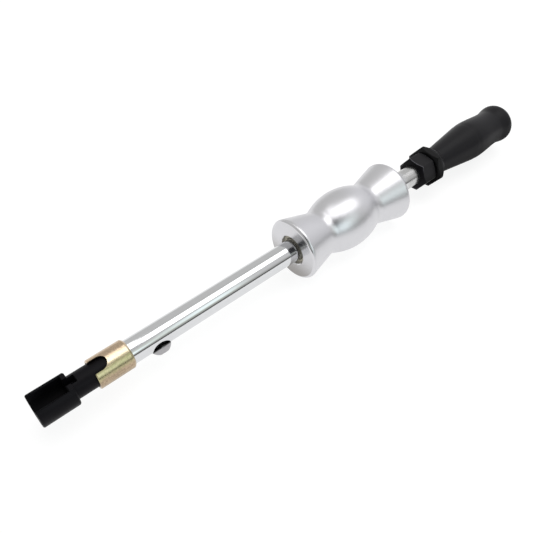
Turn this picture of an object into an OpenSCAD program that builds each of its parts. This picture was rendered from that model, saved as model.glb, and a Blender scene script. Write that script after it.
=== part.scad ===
// Slide hammer puller: a claw with a locking sleeve, a round rod, a waisted sliding weight and a grip.
// The tool lies along X with its claw at -X. It stands on the flanges of its weight.
// Every module is drawn with the rod's axis on the X axis and the claw's front face at x = 0,
// and place() then moves it into the part's own frame.

/* [Claw] */
// Length of the claw's head, from its front face to its shoulder
head_l = 23.7; // [20:0.1:32]
// Diameter of the claw's head
head_d = 21.7; // [20.5:0.1:26]
// Diameter of the claw's neck
neck_d = 15.7; // [14:0.1:15.8]
// Length of the claw's neck, from the shoulder to the rod's nose
neck_l = 25.3; // [22:0.1:40]
// Width of the trough along the top of the head
trough_w = 12; // [9:0.1:13]
// Height of the head's flat top above the rod's axis
flat_h = 8.5; // [8:0.1:9.2]
// Depth of the trough's floor below the rod's axis
trough_floor = 3; // [0:0.1:5]
// Radius that rounds the long edges of the trough
trough_edge_r = 1.6; // [0.5:0.1:2]
// Thickness of the web that closes the trough at the shoulder
web_t = 3; // [2:0.1:6]
// Width of the channel through the web
channel_w = 5.4; // [4.5:0.1:7]
// Length of the channel behind the shoulder
channel_run = 3.8; // [2:0.1:8]
// Height of the channel's floor above the rod's axis
channel_floor = 1.5; // [0:0.1:4]
// Small bevel round the claw's outer edges
claw_bevel = 0.6; // [0.3:0.1:1]
// Diameter of the spigot that enters the rod
spigot_d = 12; // [10:0.1:12.5]
// Length of the spigot
spigot_l = 23; // [18:0.5:25]

/* [Claw pin] */
// Diameter of the spring pin that locks the claw in the rod
pin_d = 3; // [2:0.1:4]
// Wall of the spring pin
pin_wall = 0.6; // [0.4:0.05:0.8]
// Width of the slit along the spring pin
pin_slit = 0.7; // [0.4:0.05:1]
// Distance from the rod's nose to the pin
pin_from_nose = 8; // [6:0.1:12]
// Depth of the pin's ends below the rod's surface
pin_sunk = 0.3; // [0.1:0.05:1]

/* [Locking sleeve] */
// Length of the sleeve
sleeve_l = 24.7; // [20:0.1:26]
// Outer diameter of the sleeve
sleeve_d = 19.8; // [19.4:0.1:20.4]
// Distance from the claw's shoulder to the sleeve as it lies
sleeve_rest = 13.6; // [6:0.1:16]
// Width of the notch in the sleeve's front edge
notch_w = 9.6; // [6:0.1:12]
// Depth of the notch, along the sleeve
notch_l = 10.1; // [7:0.1:14]
// Turn of the notch away from the top, in degrees
notch_turn = 10; // [-30:1:30]
// Bevel at the sleeve's front edge
sleeve_front_bevel = 0.5; // [0.2:0.1:0.8]
// Bevel at the sleeve's rear edge
sleeve_rear_bevel = 1.3; // [0.5:0.1:1.4]

/* [Rod] */
// Diameter of the rod
rod_d = 16.6; // [16.2:0.1:16.8]
// Free length of the rod, from its nose to the lock nut
rod_free_l = 283.4; // [240:0.1:400]
// Length of the rod inside the grip
rod_tail_l = 38; // [28:0.5:40]
// Bevel at the rod's ends
rod_bevel = 1; // [0.5:0.1:1.5]
// Depth of the bore in the rod's nose beyond the spigot's end
nose_bore_spare = 1; // [0.5:0.1:2]

/* [Stop screw] */
// Distance from the rod's nose to the stop screw
stop_from_nose = 31.9; // [31:0.1:60]
// Turn of the stop screw below the level, in degrees
stop_turn = 35; // [-60:1:60]
// Diameter of the screw's shank
stop_shank_d = 8; // [6:0.1:8.4]
// Diameter of the screw's head
stop_head_d = 13.4; // [12:0.1:14.4]
// Height of the screw's head
stop_head_h = 4.5; // [3.8:0.1:4.8]
// Height of the straight band below the head's dome
stop_band_h = 0.5; // [0.3:0.1:0.8]
// Length of the screw's shank
stop_shank_l = 9; // [6:0.1:10]
// Width across the flats of the screw's socket
stop_socket_af = 5; // [4:0.1:6]
// Depth of the screw's socket
stop_socket_l = 2.6; // [2:0.1:3]
// Depth of the flat that seats the screw's head in the rod
stop_seat_t = 0.4; // [0.2:0.05:0.6]

/* [Sliding weight] */
// Length of the weight
weight_l = 104.2; // [94:0.1:120]
// Diameter of the weight's two end flanges
flange_d = 47; // [44:0.5:52]
// Diameter of the weight's two waists
waist_d = 35; // [33:0.5:36]
// Diameter of the weight's middle bulge
bulge_d = 46.2; // [43:0.1:50]
// Distance from each end of the weight to the nearer waist
waist_in = 27.1; // [22:0.1:29]
// Radius of the weight's rounded outer edges
flange_edge_r = 2.5; // [1.5:0.1:4]
// Radius of the hollow curve in each waist
waist_r = 10.5; // [7:0.1:13]
// Distance from the weight to the lock nut as it lies
weight_rest = 30.5; // [10:0.1:60]
// Diameter of the long bore between the bushes
weight_bore_d = 18; // [17.5:0.1:20]

/* [Bushes] */
// Outer diameter of each bush
bush_d = 22.5; // [21:0.1:24]
// Length of each bush
bush_l = 20; // [12:0.5:30]
// Depth of each bush below the weight's end face
bush_sunk = 2.5; // [1:0.1:4]
// Bevel at each end of a bush's bore
bush_bevel = 0.8; // [0.3:0.1:1.2]
// Bevel at the mouth of each bush seat
seat_bevel = 0.6; // [0.2:0.1:1]

/* [Lock nut] */
// Width of the lock nut across its flats
nut_af = 24.5; // [22:0.5:28]
// Thickness of the lock nut
nut_h = 15; // [10:0.1:18]
// Turn of the lock nut's corner away from the top, in degrees
nut_turn = 33; // [0:1:60]

/* [Grip] */
// Length of the grip
grip_l = 111.3; // [106:0.1:140]
// Width of the grip's collar across its flats
collar_af = 30.2; // [28:0.1:34]
// Length of the collar's full flats
collar_l = 4; // [3:0.1:8]
// Length of the cone from the collar to the neck
cone_l = 9.2; // [7:0.1:14]
// Turn of the collar's corner away from the top, in degrees
collar_turn = 35; // [0:1:60]
// Diameter of the grip's neck
grip_neck_d = 22; // [21.6:0.1:25]
// Distance from the grip's front to the end of its straight taper
taper_end = 53.8; // [46:0.1:57]
// Diameter of the grip at the end of its straight taper
taper_end_d = 32.6; // [30:0.1:33.4]
// Distance from the grip's front to the crest of its belly
belly_at = 61; // [58:0.5:66]
// Diameter of the grip's belly
belly_d = 33.5; // [32.7:0.1:37]
// Distance from the grip's front to its finger pinch
pinch_at = 90.6; // [82:0.1:94]
// Diameter of the grip at its finger pinch
pinch_d = 30; // [27:0.1:32]
// Distance from the grip's front to its end knob
knob_at = 101.7; // [96:0.1:104]
// Diameter of the grip's end knob
knob_d = 33.3; // [32:0.1:37]

/* [Grip insert] */
// Outer diameter of the steel insert moulded into the grip
insert_d = 19.6; // [19:0.1:20.2]
// Length of the insert
insert_l = 42; // [40:0.5:52]
// Number of holding grooves round the insert
insert_grooves = 4; // [2:1:6]
// Depth of each holding groove
insert_groove_t = 0.5; // [0.3:0.1:0.7]
// Width of each holding groove
insert_groove_w = 3; // [2:0.1:4]

/* [Hidden] */

$fn = 96;
// Radial clearance of pieces that are screwed or pressed together
seat_clear = 0.03;
// Radial clearance of pieces that slide on the rod
run_clear = 0.06;
// Gap kept where a sliding piece meets its stop
stop_gap = 0.3;
// How far a cut runs past the face that it opens
overrun = 1;
// Steps in each curved stretch of an outline
curve_steps = 12;
// Width of a hexagon's turned end face, as a share of its width across the flats
hex_face_share = 0.95;
// Slope of a hexagon's end bevels, in degrees
hex_bevel_angle = 30;
// Radius of the flat on the screw's dome, as a share of the head's radius
dome_flat_share = 0.3;

head_r = head_d / 2;
neck_r = neck_d / 2;
rod_r = rod_d / 2;
sleeve_r = sleeve_d / 2;
flange_r = flange_d / 2;
waist_low_r = waist_d / 2;
bulge_r = bulge_d / 2;

nose_x = head_l + neck_l;
pin_x = nose_x + pin_from_nose;
sleeve_x = head_l + sleeve_rest;
stop_x = nose_x + stop_from_nose;
nut_x = nose_x + rod_free_l;
weight_x = nut_x - weight_rest - weight_l;
grip_x = nut_x + nut_h;
tool_l = grip_x + grip_l;
rod_end_x = grip_x + rod_tail_l;

// A round bore for a piece that slides on the rod
slide_bore_r = rod_r + run_clear;
// The seat of each bush in the weight
bush_seat_l = bush_sunk + bush_l;

// Height of the screw's seat above the rod's axis
stop_seat_h = rod_r - stop_seat_t;
stop_head_r = stop_head_d / 2;

// Centre of each waist's hollow, measured out from the axis
hollow_y = waist_low_r + waist_r;
half_span = weight_l / 2 - waist_in;
hollow_over_bulge = hollow_y - bulge_r;
// Radius of the bulge's arc, which meets both hollows without a corner
bulge_arc_r = (half_span * half_span + hollow_over_bulge * hollow_over_bulge - waist_r * waist_r)
    / (2 * (waist_r - hollow_over_bulge));
bulge_y = bulge_r - bulge_arc_r;
// Angle at which the hollow hands over to the bulge
join_angle = atan2(half_span, hollow_y - bulge_y);
// The flare is the straight line that touches the flange's rounded edge and the hollow
flare_run = [waist_in - flange_edge_r, hollow_y - flange_r + flange_edge_r];
flare_angle = asin((waist_r + flange_edge_r) / norm(flare_run)) - atan2(flare_run[1], flare_run[0]);

// Travel of the two sliding pieces
weight_forward = weight_x + bush_sunk - stop_x - stop_head_r - stop_gap;
weight_back = weight_rest - stop_gap;
sleeve_forward = sleeve_rest - stop_gap;
sleeve_back = stop_x - stop_head_r - sleeve_x - sleeve_l - stop_gap;
echo(tool_l = tool_l, weight_forward = weight_forward, weight_back = weight_back);
echo(sleeve_forward = sleeve_forward, sleeve_back = sleeve_back, axis_height = flange_r);

// Points along an arc, from one angle to another
function arc(centre, r, from, to) =
    [for (i = [0:curve_steps])
        let (a = from + (to - from) * i / curve_steps)
        [centre[0] + r * cos(a), centre[1] + r * sin(a)]];

// Points that ease from one radius to another along the axis
function ease(x0, r0, x1, r1) =
    [for (i = [1:curve_steps])
        let (t = i / curve_steps)
        [r0 + (r1 - r0) * (1 - cos(180 * t)) / 2, x0 + (x1 - x0) * t]];

// Moves the tool from its own axis into the part's frame
module place() {
    translate([-tool_l / 2, 0, flange_r]) children();
}

// Turns a shape that stands on Z so that it lies along X, with its own Y upwards
module lay(x) {
    translate([x, 0, 0]) rotate([90, 0, 90]) children();
}

// A bar with bevelled ends
module bevelled_bar(r, l, bevel) {
    rotate_extrude() polygon([
        [0, 0], [r - bevel, 0], [r, bevel], [r, l - bevel], [r - bevel, l], [0, l]
    ]);
}

// A hexagonal bar with a corner upwards
module hex_bar(af, l) {
    rotate([0, 0, 90]) cylinder(h = l, r = af / sqrt(3), $fn = 6);
}

module claw() {
    color([0.10, 0.10, 0.11]) place() difference() {
        union() {
            lay(0) bevelled_bar(head_r, head_l, claw_bevel);
            lay(head_l) cylinder(h = neck_l, r = neck_r);
            lay(nose_x) bevelled_bar(spigot_d / 2, spigot_l, claw_bevel);
        }
        head_flat();
        trough();
        channel();
        claw_pin_hole();
    }
}

// The flat along the top of the head
module head_flat() {
    translate([-overrun, -head_r, flat_h]) cube([head_l + 2 * overrun, head_d, head_r]);
}

// The round-bottomed trough that the pulled part lies in, with its two long edges rounded
module trough() {
    half_w = trough_w / 2;
    floor_y = half_w - trough_floor;
    edge_y = flat_h - trough_edge_r;
    edge_x = half_w + trough_edge_r;
    trough_l = head_l - web_t + overrun;
    lay(-overrun) {
        translate([0, floor_y, 0]) cylinder(h = trough_l, r = half_w);
        translate([-half_w, floor_y, 0]) cube([trough_w, head_r - floor_y, trough_l]);
        difference() {
            translate([-edge_x, edge_y, 0]) cube([2 * edge_x, head_r - edge_y, trough_l]);
            for (side = [-1, 1]) translate([side * edge_x, edge_y, -overrun])
                cylinder(h = trough_l + 2 * overrun, r = trough_edge_r);
        }
    }
}

// The narrow channel through the web and into the neck
module channel() {
    from_x = head_l - web_t - overrun;
    to_x = head_l + channel_run;
    translate([from_x, -channel_w / 2, channel_floor]) cube([to_x - from_x, channel_w, head_r]);
}

module claw_pin_hole() {
    translate([pin_x, 0, -rod_r - overrun]) cylinder(h = rod_d + 2 * overrun, d = pin_d + 2 * seat_clear);
}

module claw_pin() {
    half_l = rod_r - pin_sunk;
    color([0.55, 0.56, 0.58]) place() translate([pin_x, 0, -half_l]) difference() {
        cylinder(h = 2 * half_l, d = pin_d);
        translate([0, 0, -overrun]) cylinder(h = 2 * (half_l + overrun), d = pin_d - 2 * pin_wall);
        translate([0, -pin_slit / 2, -overrun]) cube([pin_d, pin_slit, 2 * (half_l + overrun)]);
    }
}

module locking_sleeve() {
    color([0.80, 0.72, 0.45]) place() difference() {
        lay(sleeve_x) difference() {
            rotate_extrude() polygon([
                [0, 0], [sleeve_r - sleeve_front_bevel, 0], [sleeve_r, sleeve_front_bevel],
                [sleeve_r, sleeve_l - sleeve_rear_bevel], [sleeve_r - sleeve_rear_bevel, sleeve_l], [0, sleeve_l]
            ]);
            translate([0, 0, -overrun]) cylinder(h = sleeve_l + 2 * overrun, r = slide_bore_r);
        }
        rotate([notch_turn, 0, 0]) sleeve_notch();
    }
}

// The open-ended notch with a round bottom, cut through one side of the sleeve
module sleeve_notch() {
    straight_l = notch_l - notch_w / 2;
    translate([sleeve_x, 0, 0]) {
        translate([straight_l, 0, 0]) cylinder(h = sleeve_d, d = notch_w);
        translate([-overrun, -notch_w / 2, 0]) cube([straight_l + overrun, notch_w, sleeve_d]);
    }
}

module rod() {
    rod_l = rod_free_l + nut_h + rod_tail_l;
    color([0.82, 0.83, 0.85]) place() difference() {
        lay(nose_x) bevelled_bar(rod_r, rod_l, rod_bevel);
        lay(nose_x - overrun) cylinder(h = spigot_l + nose_bore_spare + overrun, r = spigot_d / 2 + seat_clear);
        claw_pin_hole();
        at_stop() stop_seat();
    }
}

// Carries a shape to the stop screw, standing on the rod's axis
module at_stop() {
    translate([stop_x, 0, 0]) rotate([90 + stop_turn, 0, 0]) children();
}

// The flat for the screw's head and the hole for its shank
module stop_seat() {
    translate([0, 0, stop_seat_h]) cylinder(h = rod_r, r = stop_head_r + run_clear);
    translate([0, 0, stop_seat_h - stop_shank_l - run_clear])
        cylinder(h = stop_shank_l + rod_r, r = stop_shank_d / 2 + seat_clear);
}

module stop_screw() {
    dome_h = stop_head_h - stop_band_h;
    top_r = stop_head_r * dome_flat_share;
    // The dome's sphere passes through the edge of the band and the edge of the flat top
    ball_up = (stop_head_r * stop_head_r - top_r * top_r - dome_h * dome_h) / (2 * dome_h);
    ball_r = sqrt(stop_head_r * stop_head_r + ball_up * ball_up);
    color([0.30, 0.31, 0.33]) place() at_stop() translate([0, 0, stop_seat_h]) difference() {
        union() {
            translate([0, 0, -stop_shank_l]) cylinder(h = stop_shank_l, d = stop_shank_d);
            intersection() {
                cylinder(h = stop_head_h, r = stop_head_r);
                translate([0, 0, stop_band_h - ball_up]) sphere(r = ball_r);
            }
        }
        translate([0, 0, stop_head_h - stop_socket_l])
            cylinder(h = stop_head_h, r = stop_socket_af / sqrt(3), $fn = 6);
    }
}

module slide_weight() {
    color([0.80, 0.80, 0.81]) place() lay(weight_x) difference() {
        rotate_extrude() weight_outline();
        weight_cuts();
        translate([0, 0, weight_l]) mirror([0, 0, 1]) weight_cuts();
    }
}

// Half of the weight's outline, from its axis at the end face to the middle
module weight_outline() {
    front = concat(
        [[0, 0]],
        arc([flange_r - flange_edge_r, flange_edge_r], flange_edge_r, -90, flare_angle),
        arc([hollow_y, waist_in], waist_r, 180 + flare_angle, 180 - join_angle),
        arc([bulge_y, weight_l / 2], bulge_arc_r, -join_angle, 0)
    );
    back = [for (i = [len(front) - 2:-1:0]) [front[i][0], weight_l - front[i][1]]];
    polygon(concat(front, back));
}

// The bore from one end of the weight to its middle
module weight_cuts() {
    seat_r = bush_d / 2;
    translate([0, 0, -overrun]) cylinder(h = weight_l / 2 + 2 * overrun, d = weight_bore_d);
    translate([0, 0, -overrun]) cylinder(h = bush_seat_l + overrun, r = seat_r);
    translate([0, 0, -overrun]) cylinder(h = seat_bevel + overrun, r1 = seat_r + seat_bevel + overrun, r2 = seat_r);
}

// A plain bush with its bore bevelled at both ends
module bush(x) {
    outer_r = bush_d / 2 - seat_clear;
    color([0.62, 0.50, 0.33]) place() lay(x) rotate_extrude() polygon([
        [slide_bore_r + bush_bevel, 0], [outer_r, 0], [outer_r, bush_l],
        [slide_bore_r + bush_bevel, bush_l], [slide_bore_r, bush_l - bush_bevel], [slide_bore_r, bush_bevel]
    ]);
}

module front_bush() {
    bush(weight_x + bush_sunk);
}

module rear_bush() {
    bush(weight_x + weight_l - bush_seat_l);
}

module lock_nut() {
    face_r = nut_af / 2 * hex_face_share;
    corner_r = nut_af / sqrt(3);
    bevel_h = (corner_r - face_r) * tan(hex_bevel_angle);
    color([0.09, 0.09, 0.10]) place() rotate([nut_turn, 0, 0]) lay(nut_x) difference() {
        intersection() {
            hex_bar(nut_af, nut_h);
            rotate_extrude() polygon([
                [0, 0], [face_r, 0], [corner_r, bevel_h], [corner_r, nut_h - bevel_h], [face_r, nut_h], [0, nut_h]
            ]);
        }
        translate([0, 0, -overrun]) cylinder(h = nut_h + 2 * overrun, r = rod_r + seat_clear);
    }
}

module grip() {
    color([0.13, 0.13, 0.14]) place() lay(grip_x) difference() {
        union() {
            rotate_extrude() grip_outline();
            rotate([0, 0, collar_turn]) grip_collar();
        }
        insert_body(insert_d / 2, overrun);
    }
}

// The grip's round body, from its front face to its domed end
module grip_outline() {
    neck_at = collar_l + cone_l;
    knob_r = knob_d / 2;
    dome_l = grip_l - knob_at;
    polygon(concat(
        [[0, 0], [grip_neck_d / 2, 0], [grip_neck_d / 2, neck_at], [taper_end_d / 2, taper_end]],
        ease(taper_end, taper_end_d / 2, belly_at, belly_d / 2),
        ease(belly_at, belly_d / 2, pinch_at, pinch_d / 2),
        ease(pinch_at, pinch_d / 2, knob_at, knob_r),
        [for (i = [1:curve_steps])
            let (a = 90 * i / curve_steps)
            [knob_r * cos(a), knob_at + dome_l * sin(a)]]
    ));
}

// The hexagonal collar, turned down to the neck by a cone
module grip_collar() {
    corner_r = collar_af / sqrt(3);
    face_r = collar_af / 2 * hex_face_share;
    bevel_h = (corner_r - face_r) * tan(hex_bevel_angle);
    intersection() {
        hex_bar(collar_af, collar_l + cone_l);
        rotate_extrude() polygon([
            [0, 0], [face_r, 0], [corner_r, bevel_h], [corner_r, collar_l],
            [grip_neck_d / 2, collar_l + cone_l], [0, collar_l + cone_l]
        ]);
    }
}

// The insert's outer form with its holding grooves, begun some way before the grip's front
module insert_body(r, lead) {
    pitch = insert_l / (insert_grooves + 1);
    difference() {
        translate([0, 0, -lead]) cylinder(h = insert_l + lead, r = r);
        for (i = [1:insert_grooves]) translate([0, 0, i * pitch - insert_groove_w / 2])
            rotate_extrude() translate([r - insert_groove_t, 0]) square([insert_d, insert_groove_w]);
    }
}

// The steel insert that the rod's tail is screwed into
module grip_insert() {
    color([0.50, 0.51, 0.53]) place() lay(grip_x) difference() {
        insert_body(insert_d / 2 - seat_clear, 0);
        translate([0, 0, -overrun]) cylinder(h = rod_tail_l + rod_bevel + overrun, r = rod_r + seat_clear);
    }
}

claw();
claw_pin();
locking_sleeve();
rod();
stop_screw();
slide_weight();
front_bush();
rear_bush();
lock_nut();
grip();
grip_insert();
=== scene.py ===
import math

import bmesh
import bpy
from mathutils import Matrix, Vector


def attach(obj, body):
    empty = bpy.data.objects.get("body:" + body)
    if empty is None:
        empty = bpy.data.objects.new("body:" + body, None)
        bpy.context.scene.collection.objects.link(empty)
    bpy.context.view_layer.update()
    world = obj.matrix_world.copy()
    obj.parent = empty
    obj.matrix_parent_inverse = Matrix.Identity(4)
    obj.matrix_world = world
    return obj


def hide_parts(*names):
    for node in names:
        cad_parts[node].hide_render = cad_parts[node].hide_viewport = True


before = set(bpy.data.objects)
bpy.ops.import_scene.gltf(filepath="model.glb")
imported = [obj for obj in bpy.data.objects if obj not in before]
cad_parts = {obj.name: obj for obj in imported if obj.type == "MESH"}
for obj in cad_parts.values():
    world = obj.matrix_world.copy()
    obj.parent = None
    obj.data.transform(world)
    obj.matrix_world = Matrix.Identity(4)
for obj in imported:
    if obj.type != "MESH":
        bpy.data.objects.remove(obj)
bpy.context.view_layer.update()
print("frame loaded:", len(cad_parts), "nodes")

milli, perMetre = 0.001, 1000    # metres in a millimetre, and millimetres in a metre
tool = {"length": 458.7, "axisHeight": 23.5}    # millimetres, as in the frame


def place(s, y, z):    # millimetres from the claw's front and from the rod's axis, to metres in the frame
    return Vector(((s - tool["length"] / 2) * milli, y * milli, (z + tool["axisHeight"]) * milli))


def placeTurned(s, y, z, degrees):    # the same, after a turn about the rod's axis
    a = math.radians(degrees)
    return place(s, y * math.cos(a) - z * math.sin(a), y * math.sin(a) + z * math.cos(a))


class Wire:    # one socket, so that shader maths reads as plain maths
    def __init__(self, bench, socket):
        self.bench, self.socket = bench, socket

    def sum(self, operation, first, second):
        wires = [v.socket.type for v in (first, second) if isinstance(v, Wire)]
        wide = "VECTOR" in wires or "RGBA" in wires
        kind = "ShaderNodeVectorMath" if wide else "ShaderNodeMath"
        if wide:
            first, second = [(v, v, v) if isinstance(v, (int, float)) else v for v in (first, second)]
        return self.bench.node(kind, {"operation": operation}, {0: first, 1: second})

    def __add__(self, other):
        return self.sum("ADD", self, other)

    def __radd__(self, other):
        return self.sum("ADD", other, self)

    def __sub__(self, other):
        return self.sum("SUBTRACT", self, other)

    def __rsub__(self, other):
        return self.sum("SUBTRACT", other, self)

    def __mul__(self, other):
        return self.sum("MULTIPLY", self, other)

    def __rmul__(self, other):
        return self.sum("MULTIPLY", other, self)

    def __truediv__(self, other):
        return self.sum("DIVIDE", self, other)

    def __rtruediv__(self, other):
        return self.sum("DIVIDE", other, self)

    def __pow__(self, other):
        return self.sum("POWER", self, other)

    def __rpow__(self, other):
        return self.sum("POWER", other, self)


class Bench:    # one material or world, and the nodes on it
    def __init__(self, name, home=bpy.data.materials):
        self.owner = home.new(name)
        self.owner.use_nodes = True
        self.tree = self.owner.node_tree
        self.tree.nodes.clear()

    def node(self, kind, settings=None, sockets=None, out=0):
        made = self.tree.nodes.new(kind)
        for key, value in (settings or {}).items():
            if key == "stops":
                self.setStops(made.color_ramp, value)
            else:
                setattr(made, key, value)
        for key, value in (sockets or {}).items():
            if isinstance(value, Wire):
                self.tree.links.new(value.socket, made.inputs[key])
            else:
                made.inputs[key].default_value = value
        return Wire(self, made.outputs[out]) if len(made.outputs) else None

    def setStops(self, ramp, stops):
        while len(ramp.elements) < len(stops):
            ramp.elements.new(0.5)
        for element, (position, value) in zip(ramp.elements, stops):
            element.position = position
            element.color = (*value, 1) if isinstance(value, tuple) else (value, value, value, 1)

    def spot(self):    # a point of the surface, in metres from the middle of the rod's axis
        here = self.node("ShaderNodeTexCoord", out="Object")
        return here - (0, 0, tool["axisHeight"] * milli)

    def normal(self):    # the way the surface faces, as x, y and z
        return self.parts(self.node("ShaderNodeTexCoord", out="Normal"))

    def parts(self, vector):
        split = self.node("ShaderNodeSeparateXYZ", sockets={0: vector})
        return [Wire(self, s) for s in split.socket.node.outputs]

    def noise(self, scale, detail, rough=0.55):    # clouds all through the piece
        return self.node("ShaderNodeTexNoise", {"noise_dimensions": "3D"},
                         {"Vector": self.spot(), "Scale": scale, "Detail": detail, "Roughness": rough})

    def lines(self, way, scale, detail):    # even bands across a single direction
        return self.node("ShaderNodeTexNoise", {"noise_dimensions": "1D"},
                         {"W": way, "Scale": scale, "Detail": detail, "Roughness": 0.7})

    def ramp(self, factor, stops, smooth=False):
        made = self.node("ShaderNodeValToRGB", {"stops": stops}, {0: factor})
        if smooth:
            made.socket.node.color_ramp.interpolation = "EASE"
        return made

    def rise(self, factor, low, high, smooth=False):    # 0 up to low, 1 from high on
        return self.ramp(factor, [(low, 0.0), (high, 1.0)], smooth)

    def fall(self, factor, low, high):    # 1 up to low, 0 from high on
        return self.ramp(factor, [(low, 1.0), (high, 0.0)])

    def window(self, factor, low, full, last, high):    # 1 from full to last, 0 outside low and high
        return self.ramp(factor, [(low, 0.0), (full, 1.0), (last, 1.0), (high, 0.0)])

    def between(self, factor, first, second, how="MIX"):
        pair = [(*c, 1) if isinstance(c, tuple) and len(c) == 3 else c for c in (first, second)]
        return self.node("ShaderNodeMix", {"data_type": "RGBA", "blend_type": how},
                         {0: factor, 6: pair[0], 7: pair[1]}, out=2)    # the sockets for colours

    def bump(self, height, strength, depth):
        return self.node("ShaderNodeBump", None, {"Height": height, "Strength": strength, "Distance": depth})

    def finish(self, sockets):
        surface = self.node("ShaderNodeBsdfPrincipled", None, sockets)
        self.node("ShaderNodeOutputMaterial", None, {"Surface": surface})
        return self.owner


# in the looks, a name in the plural is a pattern's scale, in repeats to the metre, and lengths are in metres
rodLook = {"colour": (0.690, 0.697, 0.710), "streak": (0.655, 0.660, 0.672), "roughness": 0.085, "grind": 0.0000016,
           "rearFrom": 0.088, "rearBlend": 0.005, "rear": (0.80, 0.79, 0.77), "rearRough": 0.16,
           "streaks": 160, "streakRough": 0.02, "smudges": 45, "smudgeRough": 0.03, "grindLines": 1500}


def groundChrome():
    b = Bench("groundChrome")
    r = rodLook
    x = b.parts(b.spot())[0]
    streak = b.lines(x, r["streaks"], 2)
    smudge = b.noise(r["smudges"], 4)
    rear = b.rise((x - r["rearFrom"]) / r["rearBlend"] + 0.5, 0.0, 1.0)    # 1 on the rod behind the weight, which is rougher and also painted darker as a painted shade for its dimmer reflection
    rough = r["roughness"] + r["smudgeRough"] * (smudge - 0.5) + r["streakRough"] * (streak - 0.5)
    rough = rough + rear * r["rearRough"]
    tint = b.between(streak, r["streak"], r["colour"])
    # painted shade: the rod's colour is darkened behind the weight
    tint = b.between(rear, tint, r["rear"], "MULTIPLY")
    normal = b.bump(b.lines(x, r["grindLines"], 3), 0.3, r["grind"])
    return b.finish({"Base Color": tint, "Metallic": 1.0, "Roughness": rough, "Normal": normal})


weightLook = {"colour": (0.668, 0.665, 0.685), "dull": (0.620, 0.617, 0.636), "speck": (0.50, 0.50, 0.52),
              "roughness": 0.345, "turning": 0.000004, "edgeRough": 0.06, "faceRough": 0.24,
              "face": (1.0, 1.0, 1.0), "faceShadeLow": (0.50, 0.48, 0.45), "faceHeight": 0.05,
              "clouds": 28, "cloudRough": 0.08, "bands": 260, "bandRough": 0.04, "specks": 900, "speckShare": 0.12,
              "turningLines": 2200}


def satinSteel():
    b = Bench("satinSteel")
    w = weightLook
    x, y, z = b.parts(b.spot())
    way = x + (y * y + z * z) ** 0.5    # runs outwards on the faces and along the rest, as the tool does
    cloud = b.noise(w["clouds"], 5)
    broad = b.lines(way, w["bands"], 2)
    normalX = b.normal()[0]
    endwise = normalX * normalX
    edge = b.rise(endwise, 0.28, 0.42)    # 1 on the polished edges and the end faces
    face = b.rise(endwise, 0.93, 0.98)    # 1 on the end faces
    rough = w["roughness"] + w["cloudRough"] * (cloud - 0.5) + w["bandRough"] * (broad - 0.5)
    rough = rough - edge * (w["roughness"] - w["edgeRough"]) + face * (w["faceRough"] - w["edgeRough"])
    tint = b.between(cloud, w["dull"], w["colour"])
    tint = b.between(b.noise(w["specks"], 2) * w["speckShare"], tint, w["speck"])
    height = z / w["faceHeight"] + 0.5    # painted shade: the end faces are painted darker downwards, standing in for the dimmer reflection near the floor
    low = b.ramp(height, [(0.08, w["faceShadeLow"]), (0.62, w["face"])], True)
    tint = b.between(face, tint, tint * low)
    normal = b.bump(b.lines(way, w["turningLines"], 3), 0.4, w["turning"])
    return b.finish({"Base Color": tint, "Metallic": 1.0, "Roughness": rough, "Normal": normal})


goldLook = {"reflectedOlive": (0.500, 0.460, 0.260), "pink": (0.570, 0.435, 0.305), "shadeRose": (0.400, 0.310, 0.215),
            "pale": (0.720, 0.620, 0.450), "roughness": 0.25, "turning": 0.000003,
            "clouds": 260, "cloudRough": 0.16, "cloudShift": 0.07, "grits": 800, "gritShift": 0.05,
            "stains": 120, "stainShare": 0.4, "turningLines": 1400}


def yellowZinc():
    b = Bench("yellowZinc")
    g = goldLook
    x, y, z = b.parts(b.spot())
    cloud = b.noise(g["clouds"], 4, 0.65)
    grit = b.noise(g["grits"], 3, 0.6)
    angle = b.node("ShaderNodeMath", {"operation": "ARCTAN2"}, {0: y * -1.0, 1: z})
    around = angle / (2 * math.pi) + 0.5    # 0.5 on top
    shift = around + g["cloudShift"] * (cloud - 0.5) + g["gritShift"] * (grit - 0.5)
    # painted light: the bands around the sleeve stand in for reflections; the palest band is a painted highlight, the
    # greenish band a painted reflection of the bright near side, and the darkest band painted shade underneath
    tint = b.ramp(shift, [(0.0, g["shadeRose"]), (0.42, g["pink"]), (0.50, g["pink"]), (0.535, g["pale"]),
                          (0.575, g["pale"]), (0.605, g["reflectedOlive"]), (0.675, g["reflectedOlive"]), (0.71, g["shadeRose"]),
                          (1.0, g["shadeRose"])])
    stain = b.rise(b.noise(g["stains"], 4) * 0.5 + grit * 0.5, 0.44, 0.60)
    tint = b.between(stain * g["stainShare"], tint, g["pink"])
    tint = tint * b.ramp(grit, [(0.30, (0.80, 0.80, 0.80)), (0.70, (1.10, 1.10, 1.10))])
    rough = g["roughness"] + g["cloudRough"] * (cloud - 0.5)
    normal = b.bump(b.lines(x, g["turningLines"], 3), 0.4, g["turning"])
    return b.finish({"Base Color": tint, "Metallic": 1.0, "Roughness": rough, "Normal": normal})


blackLook = {"colour": (0.0042, 0.0038, 0.0050), "worn": (0.0075, 0.0070, 0.0088), "roughness": 0.38, "shine": 0.07,
             "grain": 0.00002, "troughEnd": -0.2082, "troughHalf": 0.0059, "troughTop": 0.0088,
             "troughShade": 0.7, "nutFrom": 0.1, "nutUpperLit": (0.0190, 0.0182, 0.0198),
             "nutLowerShade": (0.0095, 0.0095, 0.0095), "highlitNutEdge": (0.150, 0.148, 0.165), "nutHeight": 0.02,
             "grains": 1500, "grainRough": 0.06, "clouds": 90, "cloudRough": 0.16, "troughRough": 0.3}


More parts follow.
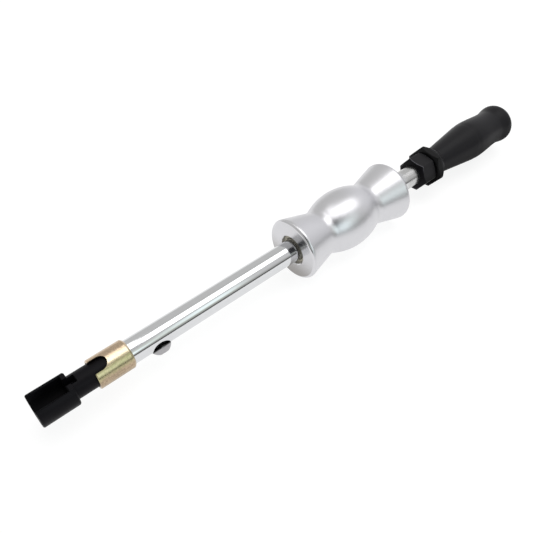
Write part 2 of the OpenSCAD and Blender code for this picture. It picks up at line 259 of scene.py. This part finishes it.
def blackSteel():
    b = Bench("blackSteel")
    k = blackLook
    fine = b.noise(k["grains"], 3)
    cloud = b.noise(k["clouds"], 4)
    tint = b.between(b.rise(cloud, 0.35, 0.75), k["colour"], k["worn"])
    x, y, z = b.parts(b.spot())
    spread = 20000    # brings the square of a width in metres to between 0 and 1
    deep = b.rise((k["troughEnd"] - x) * perMetre, 0.0, 0.3)    # 1 inside the claw's trough
    deep = deep * b.fall(y * y * spread, k["troughHalf"] ** 2 * spread, 0.75)
    deep = deep * b.rise((k["troughTop"] - z) * perMetre, 0.0, 0.3)
    # painted shade: the colour is darkened inside the trough
    tint = tint * (1.0 - k["troughShade"] * deep)
    endwise, upwards = b.normal()[::2]    # along the rod, and up
    slope = endwise * endwise
    nut = b.rise((x - k["nutFrom"]) * perMetre, 0.0, 1.0)    # 1 on the nut, whose flats are paler and painted lighter above the axis than below, as painted light
    flat = b.between(b.rise(z / k["nutHeight"] + 0.5, 0.50, 0.72), k["nutLowerShade"], k["nutUpperLit"])
    tint = b.between(nut * b.fall(slope, 0.02, 0.10), tint, flat)
    edge = nut * b.window(slope, 0.04, 0.12, 0.50, 0.60) * b.rise(upwards, 0.45, 0.65)    # a painted highlight on the nut's edges that face up
    tint = b.between(edge, tint, k["highlitNutEdge"])
    rough = k["roughness"] + k["cloudRough"] * (cloud - 0.5) + k["grainRough"] * (fine - 0.5)
    rough = rough + k["troughRough"] * deep
    return b.finish({"Base Color": tint, "Metallic": 0.0, "Roughness": rough, "Specular IOR Level": k["shine"],
                     "Normal": b.bump(fine, 0.25, k["grain"])})


screwLook = {"colour": (0.46, 0.45, 0.46), "dark": (0.30, 0.30, 0.31), "band": (0.02, 0.02, 0.02),
             "shadeBandTop": 0.0085, "arch": 8.0, "middle": -0.14845, "roughness": 0.24, "grain": 0.00001, "turn": 35,
             "clouds": 500, "cloudRough": 0.12}


def screwSteel():
    b = Bench("screwSteel")
    k = screwLook
    x, y, z = b.parts(b.spot())
    turn = math.radians(k["turn"])
    height = y * -math.cos(turn) - z * math.sin(turn)    # along the screw, from the rod's axis
    height = height - (x - k["middle"]) * (x - k["middle"]) * k["arch"]    # the painted shade's edge is lowest in the middle
    cloud = b.noise(k["clouds"], 4)
    tint = b.between(cloud, k["dark"], k["colour"])
    # painted shade: below its edge the screw is painted near black, for the shade between the head and the rod
    tint = b.between(b.rise((height - k["shadeBandTop"]) * perMetre + 0.5, 0.2, 0.8), k["band"], tint)
    rough = k["roughness"] + k["cloudRough"] * (cloud - 0.5)
    return b.finish({"Base Color": tint, "Metallic": 1.0, "Roughness": rough,
                     "Normal": b.bump(cloud, 0.2, k["grain"])})


bushLook = {"colour": (0.36, 0.34, 0.28), "pore": (0.15, 0.14, 0.115), "roughness": 0.38, "pit": 0.00004,
            "metal": 0.8, "pores": 2400, "clouds": 220, "cloudRough": 0.2}


def bushBronze():
    b = Bench("bushBronze")
    pores = b.rise(b.noise(bushLook["pores"], 2), 0.30, 0.46)
    cloud = b.noise(bushLook["clouds"], 3)
    tint = b.between(pores, bushLook["pore"], bushLook["colour"])
    rough = bushLook["roughness"] + bushLook["cloudRough"] * (cloud - 0.5)
    return b.finish({"Base Color": tint, "Metallic": bushLook["metal"], "Roughness": rough,
                     "Normal": b.bump(pores, 0.4, bushLook["pit"])})


gripLook = {"colour": (0.0052, 0.0048, 0.0062), "pale": (0.0085, 0.0080, 0.0098), "roughness": 0.42, "shine": 0.16,
            "grain": 0.00004, "collarEnd": 0.1235, "collar": (0.0026, 0.0025, 0.0030),
            "grains": 1900, "grainRough": 0.08, "clouds": 60, "cloudRough": 0.10, "collarRough": 0.15,
            "underShade": 0.6, "underRough": 0.35}


def mouldedGrip():
    b = Bench("mouldedGrip")
    g = gripLook
    grain = b.noise(g["grains"], 3, 0.6)
    cloud = b.noise(g["clouds"], 4)
    tint = b.between(cloud, g["colour"], g["pale"])
    rough = g["roughness"] + g["cloudRough"] * (cloud - 0.5) + g["grainRough"] * (grain - 0.5)
    x, y, z = b.parts(b.spot())
    collar = b.rise((g["collarEnd"] - x) * perMetre, 0.0, 0.5)    # 1 on the collar
    under = b.fall(z / (y * y + z * z) ** 0.5 * 0.5 + 0.5, 0.42, 0.72)    # 1 on the underside
    # painted shade: the colour is darker on the underside
    tint = b.between(collar, tint, g["collar"]) * (1.0 - g["underShade"] * under)
    rough = rough + g["underRough"] * under + g["collarRough"] * collar
    return b.finish({"Base Color": tint, "Metallic": 0.0, "Roughness": rough, "Specular IOR Level": g["shine"],
                     "Normal": b.bump(grain, 0.30, g["grain"])})


pinLook = {"colour": (0.50, 0.51, 0.53), "dull": (0.42, 0.43, 0.45), "roughness": 0.32, "grain": 0.00001,
           "clouds": 700, "cloudRough": 0.15}


def pinSteel():
    b = Bench("pinSteel")
    cloud = b.noise(pinLook["clouds"], 3)
    tint = b.between(cloud, pinLook["dull"], pinLook["colour"])
    rough = pinLook["roughness"] + pinLook["cloudRough"] * (cloud - 0.5)
    return b.finish({"Base Color": tint, "Metallic": 1.0, "Roughness": rough,
                     "Normal": b.bump(cloud, 0.2, pinLook["grain"])})


finishes = {
    "rod_chrome": groundChrome(), "weight_steel": satinSteel(), "gold_plate": yellowZinc(),
    "black_steel": blackSteel(), "screw_steel": screwSteel(), "bush_bronze": bushBronze(),
    "grip_plastic": mouldedGrip(), "pin_steel": pinSteel(),
}
print("finishes made:", len(finishes))


cornerShare = 0.48    # the most of an edge that the rounding of one corner takes


def softened(points, radii, steps):    # rounds the corners of an outline that radii names by their places
    out = []
    for i, point in enumerate(points):
        p = Vector(point)
        if i not in radii:
            out.append(tuple(p))
            continue
        back, ahead = (Vector(points[i - 1]) - p), (Vector(points[i + 1]) - p)
        angle = back.angle(ahead)
        reach = min(radii[i] / math.tan(angle / 2), back.length * cornerShare, ahead.length * cornerShare)
        r = reach * math.tan(angle / 2)
        centre = p + (back.normalized() + ahead.normalized()).normalized() * (r / math.sin(angle / 2))
        start, end = p + back.normalized() * reach - centre, p + ahead.normalized() * reach - centre
        turn = start.angle_signed(end)
        out += [tuple(centre + Matrix.Rotation(-turn * k / steps, 2) @ start) for k in range(steps + 1)]
    return out


def newPiece(name, mesh):
    piece = bpy.data.objects.new(name, mesh)
    bpy.context.scene.collection.objects.link(piece)
    return piece


def pieceFrom(bm, name):
    bmesh.ops.recalc_face_normals(bm, faces=bm.faces)
    mesh = bpy.data.meshes.new(name)
    bm.to_mesh(mesh)
    bm.free()
    return newPiece(name, mesh)


def skin(name, rows, ring=False):    # faces between neighbouring rows of points; a row on the axis is one point
    bm = bmesh.new()
    around = max(len(row) for row in rows)
    rows = [[bm.verts.new(point) for point in row] for row in rows]
    for a, c in list(zip(rows, rows[1:])) + ([(rows[-1], rows[0])] if ring else []):
        for k in range(around):
            n = (k + 1) % around
            corners = list(dict.fromkeys([a[k % len(a)], a[n % len(a)], c[n % len(c)], c[k % len(c)]]))
            if len(corners) > 2:
                bm.faces.new(corners)
    return pieceFrom(bm, name)


def oneTurn(radius, around):    # the angles of one turn, or only the first for a point on the axis
    return [2 * math.pi * k / around for k in range(around if radius > 0 else 1)]


def lathe(name, outline, around, ring=False):    # turns an outline of (s, radius) about the rod's axis
    return skin(name, [[place(s, r * math.sin(a), r * math.cos(a)) for a in oneTurn(r, around)] for s, r in outline],
                ring)


def spun(name, outline, around, base, turn):    # turns (radius, height) about a line that stands on the rod
    return skin(name, [[placeTurned(base + r * math.cos(a), r * math.sin(a), h, 90 + turn)
                        for a in oneTurn(r, around)] for r, h in outline])


def bar(name, first, last):    # a solid between two outlines that have the same number of points
    bm = bmesh.new()
    ends = [[bm.verts.new(point) for point in end] for end in (first, last)]
    bm.faces.new(ends[0])
    bm.faces.new(list(reversed(ends[1])))
    for k in range(len(first)):
        n = (k + 1) % len(first)
        bm.faces.new([ends[0][n], ends[0][k], ends[1][k], ends[1][n]])
    return pieceFrom(bm, name)


def prism(name, section, s0, s1):    # a section of (y, z) points about the rod's axis, drawn out along it
    return bar(name, *[[place(s, y, z) for y, z in section] for s in (s0, s1)])


def settle(piece):    # applies the piece's modifiers
    graph = bpy.context.evaluated_depsgraph_get()
    mesh = bpy.data.meshes.new_from_object(piece.evaluated_get(graph))
    piece.modifiers.clear()
    piece.data = mesh


weldReach = {"cut": 0.002, "crowded": 0.04, "eased": 0.008}    # millimetres


def weld(piece, reach):    # joins the crowded points that a cut or a bevel leaves, so no sliver face is left
    bm = bmesh.new()
    bm.from_mesh(piece.data)
    bmesh.ops.remove_doubles(bm, verts=bm.verts, dist=reach * milli)
    bmesh.ops.dissolve_degenerate(bm, edges=bm.edges, dist=reach * milli / 4)
    alone = [f for f in bm.faces if all(len(e.link_faces) == 1 for e in f.edges)]
    bmesh.ops.delete(bm, geom=alone, context="FACES")
    bmesh.ops.delete(bm, geom=[e for e in bm.edges if not e.link_faces], context="EDGES")
    bm.to_mesh(piece.data)
    bm.free()


def splitFaces(piece):    # into triangles, none of which doubles an edge that is there already
    bm = bmesh.new()
    bm.from_mesh(piece.data)
    bmesh.ops.triangulate(bm, faces=bm.faces)
    bm.to_mesh(piece.data)
    bm.free()


def combine(piece, other, how):
    step = piece.modifiers.new(how, "BOOLEAN")
    step.operation, step.solver, step.object = how, "EXACT", other
    settle(piece)
    weld(piece, weldReach["cut"])
    bpy.data.objects.remove(other)


def easeEdges(piece, width, angle, segments=3, clamp=False):    # takes the sharpness off, as a tumbler would
    weld(piece, weldReach["cut" if clamp else "crowded"])
    step = piece.modifiers.new("ease", "BEVEL")
    step.width, step.segments, step.limit_method = width * milli, segments, "ANGLE"
    step.angle_limit, step.harden_normals = math.radians(angle), True
    step.use_clamp_overlap = clamp
    settle(piece)
    weld(piece, weldReach["eased"])


def dress(piece, nodes, body, slot, sharp):    # sharp in degrees
    piece.data.shade_smooth()
    piece.data.set_sharp_from_angle(angle=math.radians(sharp))
    step = piece.modifiers.new("weigh", "WEIGHTED_NORMAL")    # the large faces set the normals, so flats look flat
    step.keep_sharp, step.weight, step.mode = True, 80, "FACE_AREA"
    settle(piece)
    piece.data.materials.clear()
    piece.data.materials.append(finishes[slot])
    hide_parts(*nodes)
    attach(piece, body)
    return piece


def arc(centre, radius, start, end, steps):    # angles in degrees, from the s direction towards the radius
    angles = [math.radians(start + (end - start) * k / steps) for k in range(steps + 1)]
    return [(centre[0] + radius * math.cos(a), centre[1] + radius * math.sin(a)) for a in angles]


claw = {"head": 23.7, "headRadius": 10.85, "bevel": 0.6, "neckRadius": 7.85, "nose": 49.0,
        "spigotRadius": 6.0, "spigotEnd": 72.0, "flat": 8.5, "troughHalf": 6.0, "troughFloor": -3.0,
        "edge": 1.6, "web": 3.0, "channelHalf": 2.7, "channelFloor": 1.5, "channelEnd": 27.5,
        "corners": {1: 0.25, 2: 0.5, 3: 0.5, 4: 0.25, 5: 0.35}, "ease": 0.3,
        "cutFrom": -2, "cutHalf": 12, "cutTop": 14}    # the cutters reach past the steel


def makeClaw():
    c = claw
    points = [(0, 0), (0, c["headRadius"] - c["bevel"]), (c["bevel"], c["headRadius"]),
              (c["head"] - c["bevel"], c["headRadius"]), (c["head"], c["headRadius"] - c["bevel"]),
              (c["head"], c["neckRadius"]), (c["nose"], c["neckRadius"]), (c["nose"], c["spigotRadius"]),
              (c["spigotEnd"], c["spigotRadius"]), (c["spigotEnd"], 0)]
    piece = lathe("claw_forging", softened(points, c["corners"], 4), 160)
    half, edge, rim, top, side = c["troughHalf"], c["edge"], c["flat"], c["cutTop"], c["cutHalf"]
    centre = half + c["troughFloor"]
    floor = arc((0, centre), half, 180, 360, 30)
    right = [(half + edge - edge * math.cos(math.radians(a)), rim - edge + edge * math.sin(math.radians(a)))
             for a in range(0, 91, 15)]
    section = floor + right + [(half + edge, top), (-half - edge, top)] + [(-y, z) for y, z in reversed(right)]
    combine(piece, prism("trough", section, c["cutFrom"], c["head"] - c["web"]), "DIFFERENCE")
    flat = [(-side, rim), (side, rim), (side, top), (-side, top)]
    combine(piece, prism("flat", flat, c["cutFrom"], c["head"] + 1), "DIFFERENCE")
    slit = [(-c["channelHalf"], c["channelFloor"]), (c["channelHalf"], c["channelFloor"]),
            (c["channelHalf"], top), (-c["channelHalf"], top)]
    combine(piece, prism("channel", slit, c["head"] - c["web"] - 1, c["channelEnd"]), "DIFFERENCE")
    easeEdges(piece, c["ease"], 40)
    splitFaces(piece)
    return dress(piece, ["claw"], "puller", "black_steel", 40)


sleeve = {"start": 37.3, "length": 24.7, "radius": 9.9, "bore": 8.36, "frontBevel": 0.5, "rearBevel": 1.3,
          "lip": 6, "notchHalf": 4.8, "notchDepth": 10.1, "notchTurn": 10, "cutAhead": 2, "cutTop": 14,
          "corners": {2: 0.3, 3: 0.5, 4: 0.8, 5: 0.3, 6: 0.1}, "ease": 0.25}


def makeSleeve():
    v = sleeve
    end = v["start"] + v["length"]
    points = [(v["start"] + v["lip"], v["bore"]), (v["start"], v["bore"]), (v["start"], v["radius"] - v["frontBevel"]),
              (v["start"] + v["frontBevel"], v["radius"]), (end - v["rearBevel"], v["radius"]),
              (end, v["radius"] - v["rearBevel"]), (end, v["bore"]), (end - v["lip"], v["bore"])]
    piece = lathe("sleeve_shell", softened(points, v["corners"], 5), 192, ring=True)
    straight = v["start"] + v["notchDepth"] - v["notchHalf"]
    half, ahead = v["notchHalf"], v["start"] - v["cutAhead"]
    outline = [(ahead, -half)] + arc((straight, 0), half, -90, 90, 30) + [(ahead, half)]
    ends = [[placeTurned(s, y, z, v["notchTurn"]) for s, y in outline] for z in (0, v["cutTop"])]
    combine(piece, bar("notch", *ends), "DIFFERENCE")
    easeEdges(piece, v["ease"], 40, clamp=True)
    return dress(piece, ["locking_sleeve"], "sleeve", "gold_plate", 40)


rod = {"nose": 49.0, "radius": 8.3, "end": 385.4, "bevel": 1.0, "boreRadius": 6.03, "boreEnd": 73.0,
       "pinAt": 57.0, "pinRadius": 1.53, "pinLength": 20, "rings": range(60, 380, 20),
       "corners": {3: 0.2, 4: 0.4}}


def makeRod():
    points = [(rod["boreEnd"], 0), (rod["boreEnd"], rod["boreRadius"]), (rod["nose"], rod["boreRadius"]),
              (rod["nose"], rod["radius"] - rod["bevel"]), (rod["nose"] + rod["bevel"], rod["radius"])]
    points += [(s, rod["radius"]) for s in rod["rings"]]
    points += [(rod["end"] - rod["bevel"], rod["radius"]), (rod["end"], rod["radius"] - rod["bevel"]), (rod["end"], 0)]
    piece = lathe("rod_bar", softened(points, rod["corners"], 4), 256)
    hole = bmesh.new()
    bmesh.ops.create_cone(hole, cap_ends=True, segments=40, radius1=rod["pinRadius"] * milli,
                          radius2=rod["pinRadius"] * milli, depth=rod["pinLength"] * milli)
    bmesh.ops.translate(hole, verts=hole.verts, vec=place(rod["pinAt"], 0, 0))
    combine(piece, pieceFrom(hole, "pinHole"), "DIFFERENCE")
    return dress(piece, ["rod"], "puller", "rod_chrome", 30)


screw = {"at": 80.9, "turn": 35, "headRadius": 6.7, "headHeight": 4.5, "band": 0.5, "flatRadius": 2.0,
         "seat": 7.9, "socket": 5.0, "socketDepth": 2.6, "shankRadius": 4.0, "shank": 9.0,
         "tipGap": 0.2, "brim": 0.15, "domeSteps": 14, "ease": 0.12}


def makeScrew():
    w = screw
    dome = w["headHeight"] - w["band"]
    lift = (w["headRadius"] ** 2 - w["flatRadius"] ** 2 - dome ** 2) / (2 * dome)
    ball = math.hypot(w["headRadius"], lift)
    low, high = math.asin(lift / ball), math.acos(w["flatRadius"] / ball)
    curve = arc((0, w["seat"] + w["band"] - lift), ball, math.degrees(low), math.degrees(high), w["domeSteps"])
    foot, top = w["seat"] - w["shank"] + w["tipGap"], w["seat"] + w["headHeight"]
    points = [(0, foot), (w["shankRadius"], foot), (w["shankRadius"], w["seat"]),
              (w["headRadius"] - w["brim"], w["seat"]), (w["headRadius"], w["seat"] + w["brim"])]
    points += curve + [(0, top)]
    piece = spun("screw_button", points, 96, w["at"], w["turn"])
    corner = w["socket"] / math.sqrt(3)
    socket = [(0, top - w["socketDepth"]), (corner, top - w["socketDepth"]), (corner, top + 1), (0, top + 1)]
    combine(piece, spun("socket", socket, 6, w["at"], w["turn"]), "DIFFERENCE")
    easeEdges(piece, w["ease"], 35, 2)
    return dress(piece, ["stop_screw"], "puller", "screw_steel", 35)


weight = {"start": 197.7, "length": 104.2, "flange": 23.5, "edge": 2.5, "waist": 17.5, "waistIn": 27.1,
          "hollow": 10.5, "bulge": 23.1, "seat": 11.25, "seatDepth": 22.5, "seatBevel": 0.6, "bore": 9.0,
          "faceRings": [2, 4, 6]}    # steps inwards on the end faces


def weightHalf():    # from the front face's outer edge to the middle of the bulge
    w = weight
    hollowY = w["waist"] + w["hollow"]
    span = w["length"] / 2 - w["waistIn"]
    over = hollowY - w["bulge"]
    big = (span ** 2 + over ** 2 - w["hollow"] ** 2) / (2 * (w["hollow"] - over))
    join = math.degrees(math.atan2(span, hollowY - (w["bulge"] - big)))
    run = (w["waistIn"] - w["edge"], hollowY - w["flange"] + w["edge"])
    flare = math.degrees(math.asin((w["hollow"] + w["edge"]) / math.hypot(*run)) - math.atan2(run[1], run[0]))
    line = arc((w["edge"], w["flange"] - w["edge"]), w["edge"], 180, 90 - flare, 16)
    tail = arc((w["waistIn"], hollowY), w["hollow"], 270 - flare, 270 + join, 28)
    first, last = Vector(line[-1]), Vector(tail[0])
    line += [tuple(first.lerp(last, k / 8)) for k in range(1, 8)] + tail
    line += arc((w["length"] / 2, w["bulge"] - big), big, 90 + join, 90, 32)[1:]
    return line


def makeWeight():
    w = weight
    half = weightHalf()
    outer = half + [(w["length"] - s, r) for s, r in reversed(half[:-1])]
    mouth = [(w["length"], w["seat"] + w["seatBevel"]), (w["length"] - w["seatBevel"], w["seat"]),
             (w["length"] - w["seatDepth"], w["seat"]), (w["length"] - w["seatDepth"], w["bore"]),
             (w["seatDepth"], w["bore"]), (w["seatDepth"], w["seat"]), (w["seatBevel"], w["seat"]),
             (0, w["seat"] + w["seatBevel"])]
    rear = [(w["length"], w["flange"] - w["edge"] - k) for k in w["faceRings"]]
    front = [(0, r) for s, r in reversed(rear)]
    outline = [(s + w["start"], r) for s, r in outer + rear + mouth + front]
    piece = lathe("weight_turned", outline, 256, ring=True)
    return dress(piece, ["slide_weight"], "weight", "weight_steel", 28)


nut = {"start": 332.4, "height": 15.0, "flats": 24.5, "turn": 33, "bore": 8.33, "faceShare": 0.95, "slope": 30,
       "ease": 0.35}


def hexagon(flats, turn):    # corners as (y, z), the first one up and turned towards -Y
    r = flats / math.sqrt(3)
    return [(-r * math.sin(math.radians(60 * k + turn)), r * math.cos(math.radians(60 * k + turn))) for k in range(6)]


def hexEdge(flats, faceShare, slope):    # radii of the corners and of the flat face, and the length of the bevel
    corner, face = flats / math.sqrt(3), flats / 2 * faceShare
    return corner, face, (corner - face) * math.tan(math.radians(slope))


def makeNut():
    n = nut
    corner, face, rise = hexEdge(n["flats"], n["faceShare"], n["slope"])
    s0, s1 = n["start"], n["start"] + n["height"]
    piece = prism("nut_hex", hexagon(n["flats"], n["turn"]), s0, s1)
    points = [(s0, n["bore"]), (s0, face), (s0 + rise, corner), (s1 - rise, corner), (s1, face), (s1, n["bore"])]
    combine(piece, lathe("chamfer", points, 120, ring=True), "INTERSECT")
    easeEdges(piece, n["ease"], 22)
    return dress(piece, ["lock_nut"], "puller", "black_steel", 30)


grip = {"start": 347.4, "collarFlats": 30.2, "collar": 4.0, "cone": 9.2, "turn": 35, "core": 9.9,
        "stations": [(13.2, 11.0), (53.8, 16.3), (61.0, 16.75), (90.6, 15.0), (101.7, 16.65)], "length": 111.3,
        "steps": [12, 6, 24, 14],    # rows of faces between the stations
        "insert": 9.8, "insertDepth": 42.0, "faceShare": 0.95, "slope": 30, "ease": 0.5}


def eased(a, b, steps):    # leaves a and reaches b without a slope
    return [(a[0] + (b[0] - a[0]) * k / steps, a[1] + (b[1] - a[1]) * (1 - math.cos(math.pi * k / steps)) / 2)
            for k in range(1, steps + 1)]


def makeGrip():
    g = grip
    start, line = g["start"], g["stations"]
    inside = g["collar"] / 2    # the body starts inside the collar
    steps = g["steps"]
    body = [(inside, 0), (inside, g["core"])]
    body += [tuple(Vector(line[0]).lerp(Vector(line[1]), k / steps[0])) for k in range(steps[0] + 1)]
    for k in (1, 2, 3):
        body += eased(line[k], line[k + 1], steps[k])
    knob, dome = line[4], g["length"] - line[4][0]
    body += [(knob[0] + dome * math.sin(math.radians(a)), knob[1] * math.cos(math.radians(a))) for a in range(5, 90, 5)]
    body += [(g["length"], 0)]
    piece = lathe("grip_moulding", [(s + start, r) for s, r in body], 192)
    corner, face, rise = hexEdge(g["collarFlats"], g["faceShare"], g["slope"])
    collar = prism("collar", hexagon(g["collarFlats"], g["turn"]), start, start + g["collar"] + g["cone"])
    points = [(0, 0), (0, face), (rise, corner), (g["collar"], corner), line[0], (line[0][0], 0)]
    combine(collar, lathe("cone", [(s + start, r) for s, r in points], 192), "INTERSECT")
    easeEdges(collar, g["ease"], 24)
    combine(piece, collar, "UNION")
    hollow = [(-1, 0), (-1, g["insert"]), (g["insertDepth"], g["insert"]), (g["insertDepth"], 0)]
    combine(piece, lathe("hollow", [(s + start, r) for s, r in hollow], 192), "DIFFERENCE")
    return dress(piece, ["grip"], "puller", "grip_plastic", 30)


makers = [makeClaw, makeSleeve, makeRod, makeScrew, makeWeight, makeNut, makeGrip]
for maker in makers:
    made = maker()
    print("piece made:", made.name, len(made.data.polygons), "faces")

keptNodes = {"claw_pin": "pin_steel", "front_bush": "bush_bronze", "rear_bush": "bush_bronze",
             "grip_insert": "pin_steel"}
for node, slot in keptNodes.items():
    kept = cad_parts[node]
    kept.data.materials.clear()
    kept.data.materials.append(finishes[slot])
print("kept nodes dressed")

stage = {"half": 4.0, "paper": (0.22, 0.22, 0.22), "mottle": (0.24, 0.24, 0.24), "glow": 0.84,
         "drop": 0.0001, "mottles": 3, "roughness": 0.9, "shine": 0.1}    # half and drop in metres


def makeFloor():
    b = Bench("floorPaper")
    tint = b.between(b.noise(stage["mottles"], 3), stage["paper"], stage["mottle"])
    paper = b.finish({"Base Color": tint, "Roughness": stage["roughness"], "Specular IOR Level": stage["shine"],
                      "Emission Color": (1, 1, 1, 1), "Emission Strength": stage["glow"]})
    half = stage["half"]
    mesh = bpy.data.meshes.new("floor")
    mesh.from_pydata([(-half, -half, 0), (half, -half, 0), (half, half, 0), (-half, half, 0)], [], [(0, 1, 2, 3)])
    floor = newPiece("floor", mesh)
    floor.location.z = -stage["drop"]
    floor.data.materials.append(paper)


softboxes = [    # middle and size in metres, and radiance; they face down
    {"name": "top", "at": (0.50, -0.15, 1.02), "size": (0.82, 0.72), "glow": 1.8},
    {"name": "front", "at": (-0.09, -0.075, 1.02), "size": (0.36, 0.57), "glow": 1.8},
    {"name": "far", "at": (-0.03, 0.43, 1.02), "size": (0.20, 0.44), "glow": 1.8},
]


def makeLights():
    for box in softboxes:
        data = bpy.data.lights.new(box["name"], "AREA")
        data.shape, data.size, data.size_y = "RECTANGLE", box["size"][0], box["size"][1]
        data.energy = box["glow"] * math.pi * box["size"][0] * box["size"][1]
        light = bpy.data.objects.new(box["name"], data)
        light.location = box["at"]
        light.visible_camera = False
        bpy.context.scene.collection.objects.link(light)


sky = {"far": (0.70, 0.70, 0.69), "gap": (0.63, 0.63, 0.62), "rear": (0.90, 0.90, 0.92), "dark": (0.03, 0.03, 0.035),
       "near": [(0.08, (0.06, 0.06, 0.06)), (0.16, (0.30, 0.30, 0.29)), (0.30, (0.58, 0.60, 0.56)),
                (0.46, (0.88, 0.94, 0.86)), (0.64, (0.80, 0.84, 0.78)), (0.80, (0.64, 0.64, 0.64))],    # by height
       "nearRear": [(0.08, (0.06, 0.06, 0.06)), (0.16, (0.30, 0.30, 0.29)), (0.32, (0.62, 0.62, 0.61)),
                    (0.50, (0.76, 0.76, 0.76))],
       "mint": (1.50, 1.68, 1.70), "stripShare": 0.7}
patches = [    # a dark gap between the lights, where the picture is taken, and a bright card on the near side
    {"way": (-0.46, -0.50, 0.73), "edge": (0.87, 0.935), "tint": sky["dark"]},
    {"way": (-0.06, -0.90, 0.43), "edge": (0.945, 0.975), "tint": sky["mint"]},
]


def makeWorld():    # pale on the near side, grey on the far side, and dark just over the floor's edge
    b = Bench("studio", bpy.data.worlds)
    bpy.context.scene.world = b.owner
    way = b.node("ShaderNodeTexCoord", out="Generated")
    x, y, z = b.parts(way)
    across = y * 0.5 + 0.5    # 0 on the near side, 1 on the far side
    tint = b.ramp(across, [(0.62, sky["gap"]), (0.74, sky["far"])])
    tint = b.between(b.rise(x, 0.60, 0.80), tint, sky["rear"])
    nearTint = b.between(b.rise(x, 0.38, 0.43), b.ramp(z, sky["near"]), b.ramp(z, sky["nearRear"]))
    nearSide = b.fall(across, 0.30, 0.42)
    tint = b.between(nearSide * b.fall(x, 0.66, 0.84), tint, nearTint)
    low = b.fall(z, 0.08, 0.17) * b.rise(x, 0.66, 0.84) * b.fall(across, 0.40, 0.60)    # dark behind the grip
    tint = b.between(low, tint, sky["dark"])
    for patch in patches:
        facing = b.node("ShaderNodeVectorMath", {"operation": "DOT_PRODUCT"}, {0: way, 1: patch["way"]}, out="Value")
        tint = b.between(b.rise(facing, *patch["edge"], smooth=True), tint, patch["tint"])
    strip = nearSide * b.window(x, 0.23, 0.32, 0.37, 0.42) * b.window(z, 0.38, 0.50, 0.70, 0.80)
    tint = b.between(strip * sky["stripShare"], tint, sky["mint"])
    glow = b.node("ShaderNodeBackground", None, {"Color": tint})
    b.node("ShaderNodeOutputWorld", None, {"Surface": glow})


view = {"aim": 173.7, "drop": 0.20, "distance": 403.9, "azimuth": -40.9, "elevation": 46.4,
        "focal": 576.7, "side": 533, "sensor": 36, "clip": (0.01, 20)}    # focal and side in pixels, clip in metres


def makeCamera():
    turn, lift = math.radians(view["azimuth"]), math.radians(view["elevation"])
    back = Vector((math.sin(turn) * math.cos(lift), -math.cos(turn) * math.cos(lift), math.sin(lift)))
    data = bpy.data.cameras.new("camera")
    data.sensor_width = view["sensor"]
    data.lens = view["focal"] * view["sensor"] / view["side"]
    data.clip_start, data.clip_end = view["clip"]
    camera = bpy.data.objects.new("camera", data)
    up = back.cross(Vector((0, 0, 1)).cross(back)).normalized()
    camera.location = place(view["aim"], 0, 0) + back * view["distance"] * milli - up * view["drop"] * milli
    camera.rotation_euler = back.to_track_quat("Z", "Y").to_euler()
    bpy.context.scene.collection.objects.link(camera)
    bpy.context.scene.camera = camera


makeFloor()
makeLights()
makeWorld()
makeCamera()
bpy.context.scene.view_settings.view_transform = "Standard"
bpy.context.scene.view_settings.look = "None"
print("stage, light and camera made")

bpy.context.view_layer.update()
